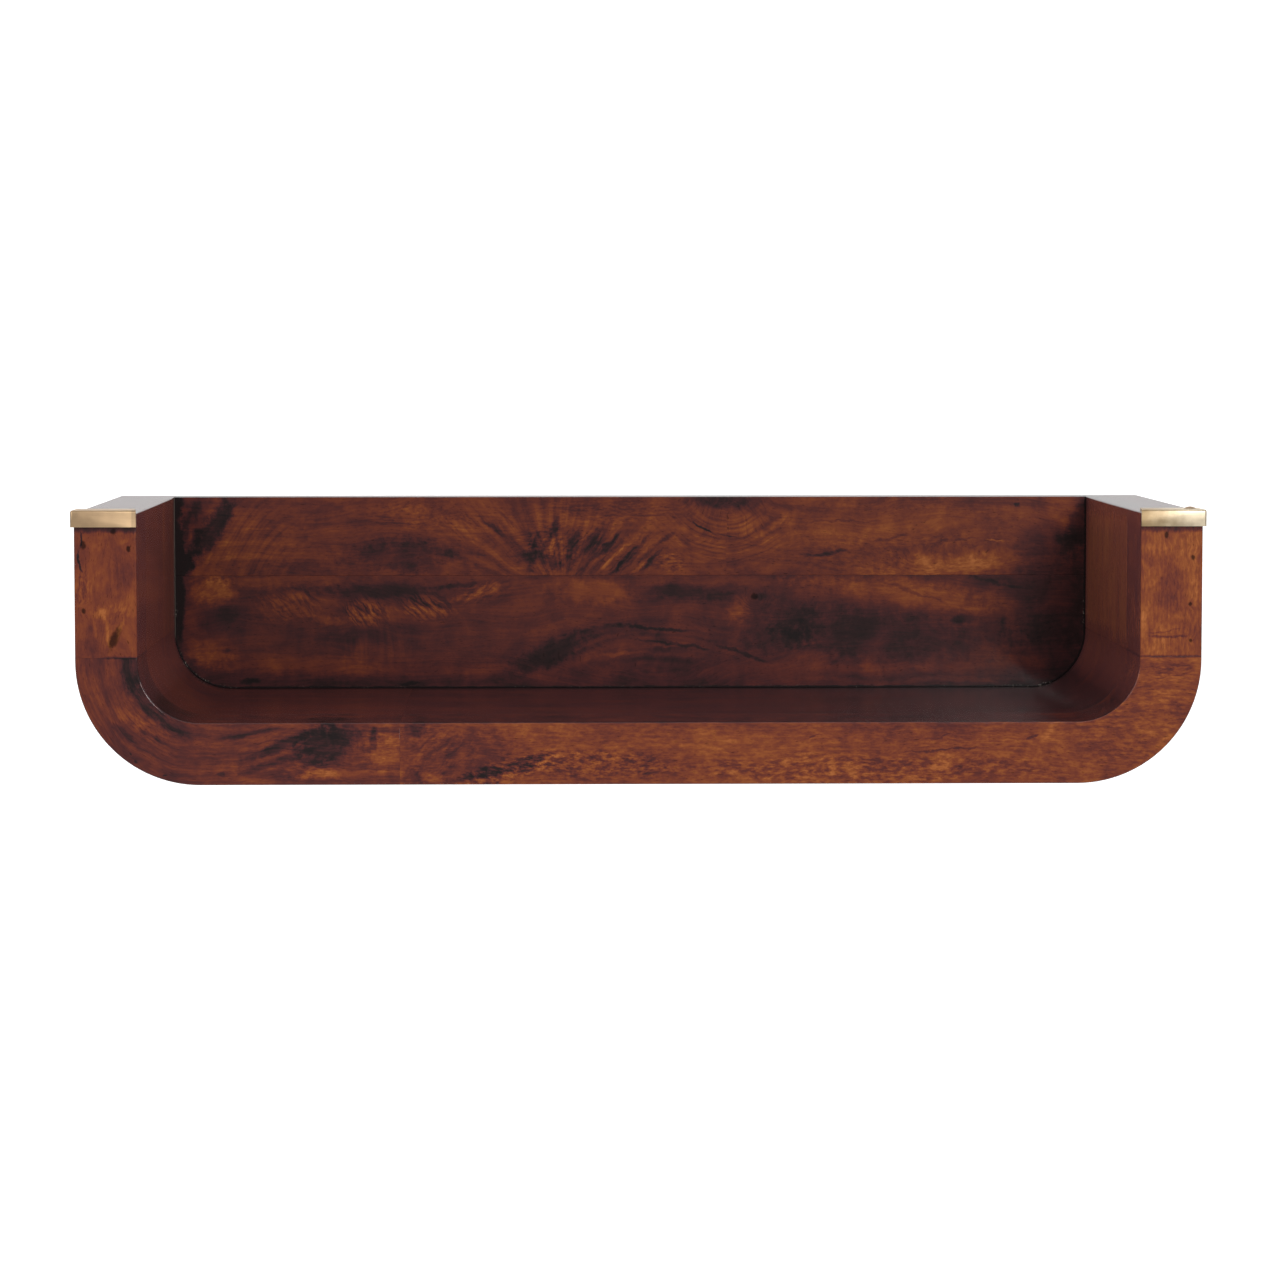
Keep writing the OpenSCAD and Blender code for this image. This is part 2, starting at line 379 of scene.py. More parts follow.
def grain_bent(shader, point):
    """Grain that follows the U round its corner: along its path, in from its outside, through its depth."""
    x, y, z = shader.split(point)
    depth_in, side, drop = inward(shader, point)
    turned = shader.times(shader.math("ARCTAN2", side, drop), CORNER_PATH_R_MM)
    level = shader.math("MINIMUM", shader.math("ABSOLUTE", x), CORNER_X_MM)
    risen = shader.math("MAXIMUM", shader.math("SUBTRACT", z, CORNER_R_MM), 0.0)
    return shader.joined(shader.add(level, turned, risen), depth_in, y)


class WoodShader(Shader):
    """The shader of one board, which holds the noises that its layers share."""

    def __init__(self, name, seed):
        super().__init__(name)
        self.seed = seed
        self.point = self.position_mm()
        self.seeded = self.vector("ADD", self.point, (seed * 137, seed * 71, seed * 53))
        self.wander = self.wobble(38, 2, 0.5)
        self.jitter = self.wobble(7, 3, 0.6)
        shaken = self.vector("ADD", self.scaled(self.wander, 9.0), self.scaled(self.jitter, 5.0))
        self.loose = self.vector("ADD", self.point, shaken)
        self.frayed = self.swing(self.seeded, 4, 0.65, scale=1 / 5)
        self.cloud = self.swing(self.seeded, 6, 0.62, 0.4, scale=1 / 16)
        # 1 on the faces that look forwards or back, and 1 on those that look to a side
        normal_x, normal_y, _ = self.split(self.normal())
        self.front = self.remap(self.math("ABSOLUTE", normal_y), 0.3, 0.8)
        not_front = self.math("SUBTRACT", 1.0, self.front)
        self.sideways = self.times(self.remap(self.math("ABSOLUTE", normal_x), 0.70, 1.0), not_front)

    def wobble(self, size, detail, rough):
        """A vector that wanders round zero over size millimetres."""
        colour_noise = self.noise(self.seeded, 1 / size, detail, rough, output=1)
        return self.vector("SUBTRACT", colour_noise, (0.5, 0.5, 0.5))

    def lay_grain(self, grain, waves, bends, knots):
        """Sets the grain's frame, pushed about by slow waves, bends and knots, and its finest noises."""
        slow_place = self.vector("MULTIPLY", grain(self, self.seeded), (1 / 90, 1 / 35, 1 / 60))
        push = self.times(self.swing(slow_place, 2, 0.5), waves * 0.4)
        for x, height, long, high, tilt, amount in bends:
            near = self.patch(self.loose, (x, height), (long, high), tilt, 0.0)
            push = self.add(push, self.times(near, amount))
        for x, height, radius, stretch, tilt in knots:
            near = self.patch(self.point, (x, height), (radius * 4, radius * 4 * stretch), tilt, 0.0)
            push = self.add(push, self.times(near, radius * 1.6))
        self.flow = self.vector("ADD", grain(self, self.point), self.joined(0.0, push, self.seed * 91))
        self.fine = self.swing(self.along_grain(22, 1.5), 4, 0.62)
        self.ragged = self.swing(self.along_grain(10, 2.2), 4, 0.65)

    def along_grain(self, length, width):
        """The grain's frame, scaled for marks of this length and width in mm."""
        return self.vector("MULTIPLY", self.flow, (1 / length, 1 / width, 1 / width))

    def facing_and_grown_tone(self, tone, flat_tone, side_tone, bands, lines, fibre, mottle, band_size):
        """Tone from the way a face looks, which is painted shade and light by the face's direction, the
        growth bands, their thin edges, the fibres and the stain.
        """
        band_place = self.vector("MULTIPLY", self.flow, tuple(1 / size for size in band_size))
        band = self.swing(band_place, 5, 0.58, 0.5)
        thin = self.noise(self.vector("MULTIPLY", band_place, (0.7, 1.3, 1.3)), 1, 3, 0.45, 0.3)
        line = self.remap(self.math("ABSOLUTE", self.math("SUBTRACT", thin, 0.5)), 0.0, 0.028, 1.0, 0.0)
        # the first three terms are painted shade and light by the way the face looks
        return self.add(
            self.times(self.front, tone - flat_tone),
            self.times(self.sideways, side_tone - flat_tone),
            flat_tone,
            self.times(band, bands),
            self.times(line, -lines),
            self.times(self.fine, fibre),
            self.times(self.cloud, mottle),
        )

    def add_flecks(self, tone, flecks, fleck_patches):
        """Short light and dark flecks along the grain, of one strength all over and stronger in patches."""
        if not flecks and not fleck_patches:
            return tone
        spot = self.remap(self.noise(self.along_grain(4.6, 1.7), 1, 4, 0.62), 0.38, 0.62, -1.0, 1.0)
        strength = flecks
        for x, height, long, high, tilt, amount in fleck_patches:
            inside = self.patch(self.loose, (x, height), (long, high), tilt, 0.45, self.ragged)
            strength = self.add(self.times(inside, amount), strength)
        return self.add(tone, self.times(spot, strength))

    def add_marks(self, tone, marks):
        """Soft-edged patches that are lighter or darker."""
        for x, height, long, high, tilt, amount in marks:
            inside = self.patch(self.loose, (x, height), (long, high), tilt, 0.28, self.frayed)
            tone = self.add(tone, self.times(inside, amount))
        return tone

    def add_strokes(self, tone, strokes):
        """Patches of light and dark stripes that run across the grain."""
        for x, height, long, high, tilt, pitch, stripe_tilt, amount in strokes:
            inside = self.patch(self.loose, (x, height), (long, high), tilt, 0.30, self.frayed)
            place_on_stripe = self.local(self.loose, (x, height), (pitch, pitch * 6), stripe_tilt)
            stripe = self.remap(self.noise(place_on_stripe, 1.0, 3, 0.5, 0.5), 0.38, 0.60, -1.0, 1.0)
            tone = self.add(tone, self.times(self.times(inside, stripe), amount))
        return tone

    def add_rings(self, tone, rings):
        """Patches of arcs round a centre, or of rays out from it where there are many spokes."""
        for ring_x, ring_z, x, height, long, high, pitch, spokes, amount in rings:
            inside = self.patch(self.loose, (x, height), (long, high), 0, 0.35, self.frayed)
            swayed = self.vector("ADD", self.point, self.scaled(self.wander, 8.0))
            away = self.vector("MULTIPLY", self.vector("SUBTRACT", swayed, (ring_x, 0, ring_z)), (1, 0, 1))
            across, _, up = self.split(away)
            outward = self.times(self.vector("LENGTH", away), 1 / pitch)
            turn = self.times(self.math("ARCTAN2", across, up), spokes)
            wave = self.noise(self.joined(outward, turn, self.seed), 1, 3, 0.55)
            stripe = self.remap(wave, 0.36, 0.62, -1.0, 1.0)
            tone = self.add(tone, self.times(self.times(inside, stripe), amount))
        return tone

    def open_pores(self, colour):
        """Short dark dashes along the grain."""
        dash = self.noise(self.along_grain(3.4, 0.5), 1, 1, 0.5)
        self.pore = self.remap(dash, 0.64, 0.74, smooth=True)
        return self.mix(self.times(self.pore, PORE_DEPTH), colour, KNOT_COLOUR)

    def darken_knots(self, colour, knots):
        """Nearly black cores of the knots."""
        cores = []
        for x, height, radius, stretch, tilt in knots:
            shaken = self.vector("ADD", self.point, self.scaled(self.jitter, radius * 1.1))
            size = (radius * 1.2, radius * stretch * 1.2)
            cores.append(self.patch(shaken, (x, height), size, tilt, 0.35, self.frayed))
        if not cores:
            return colour
        darkest = cores[0]
        for core in cores[1:]:
            darkest = self.math("MAXIMUM", darkest, core)
        return self.mix(self.times(darkest, KNOT_DEPTH), colour, KNOT_COLOUR)

    def lacquer(self, colour, relief):
        """The stain under a clear coat, with the open grain felt through it on the front and back faces."""
        surface = self.surface.inputs
        self.plug(colour, surface["Base Color"])
        self.plug(self.remap(self.cloud, -1.0, 1.0, 0.34, 0.46), surface["Roughness"])
        surface["Specular IOR Level"].default_value = 0.0
        surface["Coat Weight"].default_value = 0.54
        surface["Coat Roughness"].default_value = 0.15
        open_grain = self.add(self.times(self.fine, 0.25), self.times(self.pore, -0.7))
        self.plug(self.bump(self.times(open_grain, self.front), relief, 0.06 * MM), surface["Normal"])
        uneven_coat = self.bump(self.times(self.cloud, self.front), relief * 0.4, 0.04 * MM)
        self.plug(uneven_coat, surface["Coat Normal"])


# Details that some boards have: each takes a board's shader and tone and returns the new tone.
# joint_line makes such a detail for the stretch that it is given.

def panel_seam(board, tone):
    """The dark open joint round the back panel's front, and painted shade on the panel that fades out over
    14 mm from it.
    """
    wavy = board.add(from_wall(board, board.point), board.times(board.ragged, 0.5))
    line = board.remap(wavy, 0.4, 1.2, 1.0, 0.0)
    # painted shade on the panel near the walls of the U
    shade = board.remap(wavy, 0.0, 14.0, 1.0, 0.0, smooth=True)
    return board.add(tone, board.times(line, -0.7), board.times(shade, -0.13))


def wall_seam(board, tone):
    """The same joint on the inner faces round the panel, and painted shade in the corner in front of it."""
    before_panel = board.math("SUBTRACT", PANEL_Y_MM, board.split(board.point)[1])
    is_inner = board.remap(from_wall(board, board.point), -1.5, -0.7)
    inner_face = board.times(is_inner, board.remap(before_panel, -1.5, -0.7))
    line = board.remap(board.add(before_panel, board.times(board.ragged, 0.3)), 0.4, 1.2, 0.7, 0.0)
    # painted shade in the corner, fading over 16 mm in front of the panel
    shade = board.remap(before_panel, 0.0, 16.0, 0.12, 0.0, smooth=True)
    return board.math("SUBTRACT", tone, board.times(inner_face, board.add(line, shade)))


def cap_lip_shadow(board, tone):
    """Painted shadow of the brass cap's lip: a dark band on the arm's front just under the lip."""
    _, y, height = board.split(board.point)
    on_front = board.remap(y, FRONT_Y_MM + 0.8, FRONT_Y_MM + 1.6, 0.36, 0.0)
    below = board.math("SUBTRACT", CAP_LOW_MM, height)
    # painted shadow under the cap's lip
    stain = board.remap(board.add(below, board.times(board.ragged, 0.8)), 1.6, 3.4, 1.0, 0.0)
    return board.math("SUBTRACT", tone, board.times(stain, on_front))


def joint_line(start_x, end_x):
    """The dark glue line at the foot of an arm, which shows from start_x to end_x."""
    def detail(board, tone):
        x, _, z = board.split(board.point)
        away = board.math("ABSOLUTE", board.math("SUBTRACT", z, ARM_JOINT_MM))
        line = board.remap(board.add(away, board.times(board.ragged, 0.3)), 0.2, 1.0, 1.0, 0.0)
        over = board.remap(x, start_x - 4, start_x + 2, smooth=True)
        until = board.remap(x, end_x - 2, end_x + 4, 1.0, 0.0, smooth=True)
        return board.add(tone, board.times(board.times(line, board.times(over, until)), -0.26))
    return detail


def glue_cover(board):
    """How much pale glue shows: a hair line up the left end of the groove and a few specks low down."""
    x, _, z = board.split(board.point)
    off_wall = from_wall(board, board.point)
    line = board.remap(off_wall, 0.35, 0.55, 1.0, 0.0)
    left = board.times(board.remap(x, -240, -230, 0.26, 0.0), board.remap(z, 60, 66))
    crumbs = board.remap(board.noise(board.point, 1 / 1.2, 2, 0.6), 0.60, 0.66)
    near = board.remap(off_wall, 0.8, 2.0, 1.0, 0.0)
    ends = board.remap(board.math("ABSOLUTE", board.add(x, -6)), 226, 246, 0.12, 0.75)
    low = board.times(board.remap(z, 84, 92, 1.0, 0.0), ends)
    patchy = board.remap(board.noise(board.point, 1 / 22, 2), 0.42, 0.62, smooth=True)
    specks = board.times(board.times(crumbs, near), board.times(low, patchy))
    return board.math("MAXIMUM", board.times(line, left), specks)


def wood(name, grain, seed, tone=0.5, bands=0.10, lines=0.08, fibre=0.05, mottle=0.05, flecks=0.0,
         band_size=(150, 9, 20), waves=6.0, bends=(), marks=(), strokes=(), rings=(), fleck_patches=(),
         knots=(), details=(), glued=False, side_tone=0.54, flat_tone=0.36, relief=0.25):
    """Stained and lacquered figured wood, its tones pushed by noise and by figure placed one by one.

    tone, side_tone and flat_tone are those of the faces that look forwards or back, sideways, and up
    or down; the differences between them are painted shade and light. The figure is given in mm, with x and
    height as its centre:
    bends are (x, height, half length, half height, tilt, push of the grain in mm),
    marks and fleck_patches the same with a push of the tone or of the flecks,
    strokes (x, height, half length, half height, tilt, stripe pitch, stripe tilt, push),
    rings (ring centre x, height, patch centre x, height, half length, half height, ring pitch,
    spokes per radian, push), and knots (x, height, radius, stretch upwards, tilt).
    """
    board = WoodShader(name, seed)
    board.lay_grain(grain, waves, bends, knots)
    tone_sum = board.facing_and_grown_tone(tone, flat_tone, side_tone, bands, lines, fibre, mottle, band_size)
    tone_sum = board.add_flecks(tone_sum, flecks, fleck_patches)
    tone_sum = board.add_marks(tone_sum, marks)
    tone_sum = board.add_strokes(tone_sum, strokes)
    tone_sum = board.add_rings(tone_sum, rings)
    for detail in details:
        tone_sum = detail(board, tone_sum)
    colour = board.ramp(tone_sum, WOOD_TONES)
    colour = board.open_pores(colour)
    colour = board.darken_knots(colour, knots)
    if glued:
        colour = board.mix(glue_cover(board), colour, GLUE_COLOUR)
    # painted sheen on the sideways faces
    colour = board.mix(board.times(board.sideways, PAINTED_SHEEN_AMOUNT), colour, PAINTED_SHEEN_COLOUR)
    board.lacquer(colour, relief)
    return board.material


# ---- Metal ----

def brass(name, inner_colour, outer_colour, roughness, end_painted_shade=0.0):
    """Satin brass with brushed streaks and cloudy tarnish, from the arm's inner side to its outer side.

    The darker last strip at the inner side is painted shade of the lip's inner end; the last argument says
    how much darker it is.
    """
    shader = Shader(name)
    point = shader.position_mm()
    streak = shader.swing(shader.vector("MULTIPLY", point, (1 / 14, 1 / 3, 1 / 0.35)), 3, 0.6)
    cloud = shader.swing(point, 4, 0.6, scale=1 / 9)
    across = shader.math("ABSOLUTE", shader.split(point)[0])
    cloudy_across = shader.add(across, shader.times(cloud, 5.0))
    far = shader.remap(cloudy_across, INNER_HALF_W / MM, HALF_W / MM, smooth=True)
    colour = shader.mix(far, inner_colour, outer_colour)
    shade = shader.add(0.90, shader.times(cloud, 0.10), shader.times(streak, 0.05))
    # painted shade on the lip's inner end
    if end_painted_shade:
        strip = shader.remap(across, INNER_HALF_W / MM + 2.0, INNER_HALF_W / MM + 2.6, 1.0, 0.0)
        shade = shader.add(shade, shader.times(strip, -end_painted_shade))
    colour = shader.mix(1.0, colour, shader.joined(shade, shade, shade), "MULTIPLY")
    shader.plug(colour, shader.surface.inputs["Base Color"])
    shader.surface.inputs["Metallic"].default_value = 1.0
    shader.plug(shader.remap(cloud, -1.0, 1.0, roughness - 0.06, roughness + 0.06),
                shader.surface.inputs["Roughness"])
    shader.plug(shader.bump(streak, 0.10, 0.02 * MM), shader.surface.inputs["Normal"])
    return shader.material


def plated_steel(name):
    """Zinc-plated pressed steel, a little blotched."""
    shader = Shader(name)
    point = shader.position_mm()
    cloud = shader.noise(point, 1 / 4, 4, 0.6)
    grainy = shader.noise(shader.vector("MULTIPLY", point, (1 / 0.4, 1 / 0.4, 1 / 6)), 1, 2, 0.5)
    colour = shader.ramp(cloud, [(0.3, (0.42, 0.43, 0.45)), (0.7, (0.66, 0.67, 0.69))])
    shader.plug(colour, shader.surface.inputs["Base Color"])
    shader.surface.inputs["Metallic"].default_value = 1.0
    shader.plug(shader.remap(grainy, 0.3, 0.7, 0.30, 0.44), shader.surface.inputs["Roughness"])
    shader.plug(shader.bump(grainy, 0.1, 0.02 * MM), shader.surface.inputs["Normal"])
    return shader.material


def bare_hardwood(name):
    """Unstained turned dowel wood."""
    shader = Shader(name)
    point = shader.position_mm()
    grainy = shader.noise(shader.vector("MULTIPLY", point, (1 / 0.8, 1 / 0.8, 1 / 12)), 1, 3, 0.6)
    colour = shader.ramp(grainy, [(0.3, (0.42, 0.27, 0.14)), (0.7, (0.66, 0.47, 0.28))])
    shader.plug(colour, shader.surface.inputs["Base Color"])
    shader.surface.inputs["Roughness"].default_value = 0.7
    shader.plug(shader.bump(grainy, 0.2, 0.05 * MM), shader.surface.inputs["Normal"])
    return shader.material


# ---- Boards ----

def arm_outline(side):
    """An arm, from its joint with the corner up to its flat top; side is -1 for left and 1 for right."""
    outer = side * HALF_W
    inner = side * INNER_HALF_W
    return [
        ([(outer, TOP_Z)], SKIN),
        ([(outer, ARM_JOINT_Z)], JOINT),
        ([(inner, ARM_JOINT_Z)], SKIN),
        ([(inner, TOP_Z)], SKIN),
    ]


def corner_outline(side, far_x):
    """A rounded corner with its stretch of floor as far as far_x."""
    start = 0 if side > 0 else 180
    end = -90 if side > 0 else 270
    centre = (side * CORNER_X, CORNER_Z)
    return [
        ([(side * HALF_W, ARM_JOINT_Z)], SKIN),
        (arc(centre, CORNER_R, start, end), SKIN),
        ([(far_x, UNDER_Z)], JOINT),
        ([(far_x, FLOOR_Z)], SKIN),
        (arc(centre, INNER_R, end, start), SKIN),
        ([(side * INNER_HALF_W, ARM_JOINT_Z)], JOINT),
    ]


def layered_boards(prefix, outline, materials):
    """Three boards of one outline, glued side by side from the shelf's front to its rear."""
    for layer in LAYERS:
        y_front, y_rear = LAYER_ENDS[layer]
        front_kind = SKIN if layer == "front" else JOINT
        rear_kind = SKIN if layer == "rear" else JOINT
        piece = prism(prefix + "_" + layer + "_board", outline, y_front, y_rear, front_kind, rear_kind)
        add_bevel(piece, EASED)
        add_flat_faces(piece)
        place(piece, [prefix + "_" + layer], materials[layer])


left_arm_woods = {
    "front": wood(
        "left_arm_front_wood", grain_upright, seed=1, tone=0.62, bands=0.04, lines=0.03, fibre=0.03,
        mottle=0.12, flecks=0.04, band_size=(60, 8, 20), side_tone=0.52,
        details=[cap_lip_shadow, joint_line(-284, -260)],
        knots=[(-279, 135, 1.8, 1.0, 0), (-295, 128, 1.6, 1.5, 0), (-271, 126, 1.1, 1.6, 0),
               (-295, 93, 1.3, 1.2, 0), (-279, 78.5, 2.6, 3.0, -26)],
        marks=[(-291, 78, 10, 12, 0, -0.12), (-295, 131, 0.7, 6, 0, -0.5), (-295.5, 119, 0.7, 10, 3, -0.5),
               (-276, 114, 12, 18, 0, -0.06), (-286, 91, 9, 4, 10, 0.16), (-283, 83, 1.6, 10, 0, 0.16),
               (-276, 84, 1.6, 9, -14, 0.16), (-290, 84, 1.4, 7, 0, 0.14), (-273, 131, 8, 2, 20, 0.08),
               (-281, 79, 4, 9, -26, 0.10)],
        fleck_patches=[(-295, 104, 6, 12, 0, 0.10), (-280, 92, 14, 6, 0, 0.06)],
    ),
    "middle": wood("left_arm_middle_wood", grain_upright, seed=3, side_tone=0.58, bands=0.06, lines=0.03,
                   relief=0.04),
    "rear": wood("left_arm_rear_wood", grain_upright, seed=4, side_tone=0.63, bands=0.06, lines=0.03,
                 relief=0.04, details=[wall_seam]),
}
right_arm_woods = {
    "front": wood(
        "right_arm_front_wood", grain_upright, seed=2, tone=0.72, bands=0.05, lines=0.05, fibre=0.05,
        mottle=0.14, flecks=0.08, band_size=(60, 7, 20), side_tone=0.52,
        details=[cap_lip_shadow, joint_line(260, 306)],
        knots=[(280.5, 133, 1.2, 1.9, 8), (295, 121, 1.2, 1.4, 20), (293.5, 96, 1.1, 1.1, 0),
               (294, 76.5, 1.2, 1.1, 30)],
        marks=[(284, 104, 9, 18, 0, -0.12), (282, 79.5, 15, 1.3, -4, -0.26), (280, 83, 12, 0.8, 6, -0.16),
               (270, 84, 3, 12, 0, 0.12), (270, 90, 2.4, 3, 0, 0.10), (296, 112, 3, 20, 0, 0.06)],
    ),
    # The middle and rear boards are darker at the top and at the foot of the arm; at the foot, where the
    # face turns into the corner, this is painted shade.
    "middle": wood("right_arm_middle_wood", grain_upright, seed=13, side_tone=0.74, bands=0.07, lines=0.04,
                   relief=0.04, marks=[(267, 145, 20, 10, 0, -0.14), (267, 66, 20, 12, 0, -0.14)]),
    "rear": wood("right_arm_rear_wood", grain_upright, seed=14, side_tone=0.76, bands=0.06, lines=0.03,
                 relief=0.04, details=[wall_seam],
                 marks=[(267, 145, 20, 12, 0, -0.14), (267, 66, 20, 12, 0, -0.14)]),
}
corner_woods = {
    "front": wood(
        "left_corner_front_wood", grain_bent, seed=5, tone=0.50, bands=0.12, lines=0.09, fibre=0.07,
        mottle=0.09, flecks=0.05, band_size=(90, 5, 20), details=[joint_line(-284, -260)],
        strokes=[(-186, 20, 40, 15, 0, 2.6, -62, 0.07), (-258, 40, 34, 12, -45, 2.0, 45, 0.06)],
        marks=[(-270, 60, 9, 14, 8, -0.24), (-262, 46, 20, 8, -58, -0.22), (-248, 34, 20, 7, -36, -0.18),
               (-290, 56, 10, 14, 0, 0.04),
               (-272, 37, 15, 5, -38, 0.16), (-275, 28, 15, 2.6, -36, -0.20), (-245, 21, 30, 4, -12, 0.06),
               (-168, 21, 22, 15, 12, -0.34), (-190, 22, 34, 3.6, 24, -0.26),
               (-196, 12, 34, 2.8, 18, -0.22), (-208, 27, 26, 2.4, 12, -0.16),
               (-158, 27, 14, 8, 0, -0.20), (-136, 16, 12, 16, 0, 0.20),
               (-142.5, 26, 2.6, 8, 0, -0.30), (-136, 31, 6, 2, 0, 0.14), (-172, 5.5, 18, 3.2, 0, 0.26),
               (-206, 3, 26, 2.2, 0, 0.10), (-269, 14.4, 1.4, 1.2, 0, -0.3), (-253, 6, 1.6, 1.0, 0, -0.3),
               (-272.4, 18, 1.0, 1.2, 0, -0.3), (-223, 4.3, 3.5, 1.6, 0, -0.24)],
        fleck_patches=[(-140, 20, 14, 16, 0, 0.07), (-178, 9, 24, 6, 10, 0.08),
                       (-262, 30, 20, 6, -35, 0.06)],
    ),
    "middle": wood("left_corner_middle_wood", grain_bent, seed=6, side_tone=0.50, flat_tone=0.38,
                   bands=0.06, lines=0.03, relief=0.04),
    "rear": wood("left_corner_rear_wood", grain_bent, seed=16, side_tone=0.54, flat_tone=0.38,
                 bands=0.06, lines=0.03, relief=0.04, details=[wall_seam]),
}
FLOOR_SHADE = (190, 34, 190, 14, 0, -0.09)   # the floor darkens towards the right
floor_woods = {
    "front": wood(
        "floor_front_wood", grain_level, seed=7, tone=0.66, bands=0.06, lines=0.05, fibre=0.06, mottle=0.11,
        flecks=0.08, band_size=(90, 6, 20), details=[joint_line(260, 306)],
        marks=[(-94, 15, 42, 22, 0, -0.22), (-120, 28, 10, 6, 20, -0.26), (-122, 4, 8, 7, 0, -0.24),
               (-112, 20, 20, 2.4, 40, 0.16), (-111, 5, 6, 4, 0, 0.20), (-74, 10, 36, 3.6, 12, -0.24),
               (-58, 15, 12, 2.0, 20, -0.20), (-20, 9, 46, 9, 0, -0.10), (-52, 28, 40, 5, 0, 0.06),
               (150, 34, 62, 16, 0, -0.12), (166, 18, 30, 0.8, 2, -0.22), (163, 25, 7, 1.2, 20, -0.18),
               (208, 24, 5, 1.0, 15, -0.24), (93, 25.5, 6, 0.8, 12, -0.20), (219, 25, 9, 8, 0, 0.08),
               (60, 27, 40, 5, 0, 0.05), (282, 62, 16, 5, 0, -0.10), (276, 45, 14, 7, 30, 0.08)],
        strokes=[(-104, 16, 26, 18, 0, 2.6, -48, 0.10), (282, 60, 20, 9, 0, 1.3, 90, 0.10),
                 (-22, 11, 44, 8, 0, 2.2, 70, 0.08)],
        fleck_patches=[(-70, 9, 40, 7, 12, 0.22), (-20, 9, 44, 9, 0, 0.14), (120, 8, 120, 9, 0, 0.10),
                       (265, 34, 38, 34, 0, 0.03)],
    ),
    "middle": wood("floor_middle_wood", grain_level, seed=8, side_tone=0.56, flat_tone=0.35, bands=0.06,
                   lines=0.03, relief=0.04, marks=[FLOOR_SHADE]),
    "rear": wood("floor_rear_wood", grain_level, seed=18, side_tone=0.60, flat_tone=0.35, bands=0.06,
                 lines=0.03, relief=0.04, details=[wall_seam], marks=[FLOOR_SHADE]),
}

upper_plank_wood = wood(
    "upper_plank_wood", grain_level, seed=9, tone=0.55, bands=0.11, lines=0.05, fibre=0.05, mottle=0.13,
    flecks=0.03, band_size=(110, 10, 20), waves=12, details=[panel_seam], glued=True,
    bends=[(58, 152, 34, 36, 0, -26), (-20, 96, 60, 20, 0, 8), (185, 105, 60, 16, 4, 8)],
    rings=[(-154, 71, -222, 118, 34, 44, 3.4, 1, 0.09), (56, 162, 54, 122, 50, 26, 2.2, 1, 0.12),
           (-40, 82, -50, 118, 84, 36, 70, 9, 0.13)],
    marks=[
        # The left end: black streaks that lean over, the arcs and the dark cloud beside them
        (-264.5, 120, 4.0, 60, 0, -0.50), (-257, 122, 10, 42, -14, -0.20), (-246, 126, 8, 34, -33, -0.48),
        (-256, 134, 5, 16, -20, -0.20),
        (-260, 106, 7, 10, 0, -0.25), (-256, 128, 2.4, 12, -8, 0.16), (-248, 109, 1.8, 10, -24, 0.10),
        (-200, 128, 34, 12, 0, -0.06), (-212, 103, 52, 8, 0, -0.12), (-194, 121, 6, 9, 0, -0.14),
        (-216, 128, 7, 4, 30, -0.10),
        (-132, 111, 46, 12, 0, -0.26), (-132, 107, 10, 8, 0, -0.08), (-130, 134, 26, 8, 0, 0.08),
        (-160, 139, 40, 5, 0, 0.04), (-80, 126, 15, 2.2, -32, -0.18), (-72, 131, 10, 1.6, -40, -0.14),
        # The feather: dark flames with bright ones between them
        (-38, 114, 42, 18, 0, -0.13), (-58, 111, 12, 4.0, 78, -0.28), (-44, 125, 9, 3.4, 70, -0.26),
        (-34, 116, 12, 4.2, 66, -0.30), (-24, 119, 11, 4.4, 56, -0.32), (-13, 118, 13, 2.6, 50, -0.36),
        (0, 112, 17, 2.6, 44, -0.34), (18, 120, 8, 2.4, 36, -0.28), (13, 109, 11, 1.8, 42, -0.30),
        (-9, 104, 9, 1.8, 44, -0.24), (-46, 116, 11, 1.7, 73, 0.26), (-21, 120, 10, 1.5, 56, 0.24),
        (-11, 110, 16, 1.5, 48, 0.26), (-57, 119, 6, 1.6, 62, 0.18), (4, 104, 9, 1.4, 40, 0.22),
        (24, 108, 9, 6, 0, 0.10),
        # The swirl that hangs from the top
        (54, 143, 30, 6.5, 0, -0.28), (43, 127, 12, 0.9, -28, -0.40), (56, 123, 7, 0.8, -4, -0.30),
        (20, 130, 18, 3, -20, 0.06), (84, 128, 14, 3, 22, 0.08),
        # The level grain on the right
        (115, 111.5, 24, 1.7, 3, -0.24), (123, 130, 34, 0.9, 2, -0.14), (151, 120, 17, 1.3, 8, -0.16),
        (190, 120, 15, 1.1, 0, -0.16), (184, 104, 62, 10, 3, 0.26), (150, 128, 110, 18, 0, 0.15),
        (228, 140, 1.8, 1.5, 0, -0.35), (213, 118.6, 7, 0.8, -8, 0.28), (70, 104, 40, 5, 0, 0.05),
        # Painted shadow that the right arm casts on the plank's right end
        (263, 128, 10, 34, -30, -0.24), (246, 104, 30, 40, -28, -0.20),
    ],
    strokes=[(-22, 113, 56, 19, 0, 2.6, -42, 0.13), (-92, 128, 34, 14, 0, 2.4, 48, 0.08)],
    fleck_patches=[(-130, 134, 30, 10, 0, 0.07), (24, 107, 12, 8, 0, 0.14), (-50, 115, 22, 18, 0, 0.08),
                   (-10, 136, 60, 9, 0, 0.06), (160, 110, 80, 18, 0, 0.05)],
)
